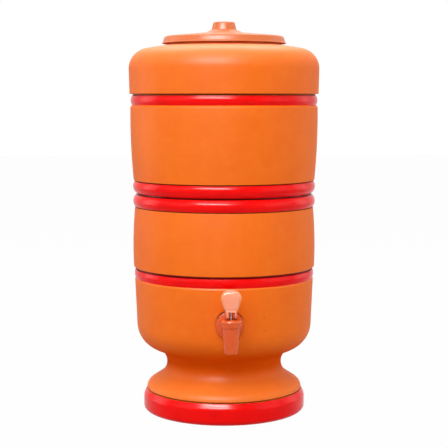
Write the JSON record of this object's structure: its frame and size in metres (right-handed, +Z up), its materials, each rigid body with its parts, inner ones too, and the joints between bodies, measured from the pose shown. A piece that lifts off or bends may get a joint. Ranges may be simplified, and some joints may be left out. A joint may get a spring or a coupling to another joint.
{
  "type": "clay water filter with tap",
  "caption": "Clay water pot of two stacked crocks on a hollow foot, with a lift-off lid, ceramic filter candle, float valve and a lever tap low on the front.",
  "frame": {"origin": "on the crocks' axis, in the plane of the foot's bottom face", "axes": "+Z up along the crocks' axis, the tap points along -Y, +X to the right of the tap as one looks at it"},
  "size_m": [0.1986, 0.2235, 0.4076],
  "materials": {
    "clay": "unglazed terracotta with enamelled red bands",
    "lid_plastic": "satin terracotta-coloured plastic",
    "tap_plastic": "terracotta-coloured moulded plastic",
    "lever_plastic": "pale peach moulded plastic",
    "candle_ceramic": "white porous ceramic",
    "carbon": "pressed activated carbon",
    "white_plastic": "white moulded plastic",
    "float_plastic": "white blown plastic",
    "black_rubber": "moulded rubber",
    "white_rubber": "food-grade rubber",
    "steel": "stainless steel"
  },
  "bodies": {
    "lower_pot": {"lower_pot": "clay", "tap_body": "tap_plastic", "tap_outer_washer": "black_rubber", "tap_inner_washer": "black_rubber", "tap_nut": "tap_plastic", "tap_bonnet": "tap_plastic", "tap_stem_packing": "black_rubber"},
    "tap_plunger": {"tap_stem": "steel", "tap_seal": "black_rubber", "tap_lever_pin": "steel", "tap_spring": "steel"},
    "tap_lever": {"tap_lever": "lever_plastic"},
    "upper_pot": {"upper_pot": "clay", "candle_shell": "candle_ceramic", "candle_carbon_core": "carbon", "candle_base": "white_plastic", "candle_gasket": "white_rubber", "candle_lower_washer": "white_rubber", "candle_nut": "white_plastic", "float_valve_body": "white_plastic", "float_hinge_pin": "steel"},
    "float": {"float_arm": "white_plastic", "float_bulb": "float_plastic", "float_seal_pad": "white_rubber"},
    "lid": {"lid": "lid_plastic"}
  },
  "joints": [
    {"name": "upper_pot_lift", "type": "slide", "parent": "lower_pot", "child": "upper_pot", "axis": [0, 0, 1], "range_m": [0, 0.12]},
    {"name": "lid_lift", "type": "slide", "parent": "upper_pot", "child": "lid", "axis": [0, 0, 1], "range_m": [0, 0.1]},
    {"name": "float_swing", "type": "hinge", "parent": "upper_pot", "child": "float", "pos_m": [-0.013, 0, 0.184], "axis": [0, -1, 0], "range_deg": [0, 35]},
    {"name": "plunger_lift", "type": "slide", "parent": "lower_pot", "child": "tap_plunger", "axis": [0, 0, 1], "range_m": [0, 0.00196], "stiffness_N_per_m": 300, "springref_m": -0.01, "deforming": ["tap_spring"]},
    {"name": "lever_tilt", "type": "hinge", "parent": "tap_plunger", "child": "tap_lever", "pos_m": [0, -0.113, 0.1235], "axis": [1, 0, 0], "range_deg": [0, 45]}
  ],
  "couplings": [
    {"joint": "lever_tilt", "follows": "plunger_lift", "rad_per_m": 400}
  ]
}
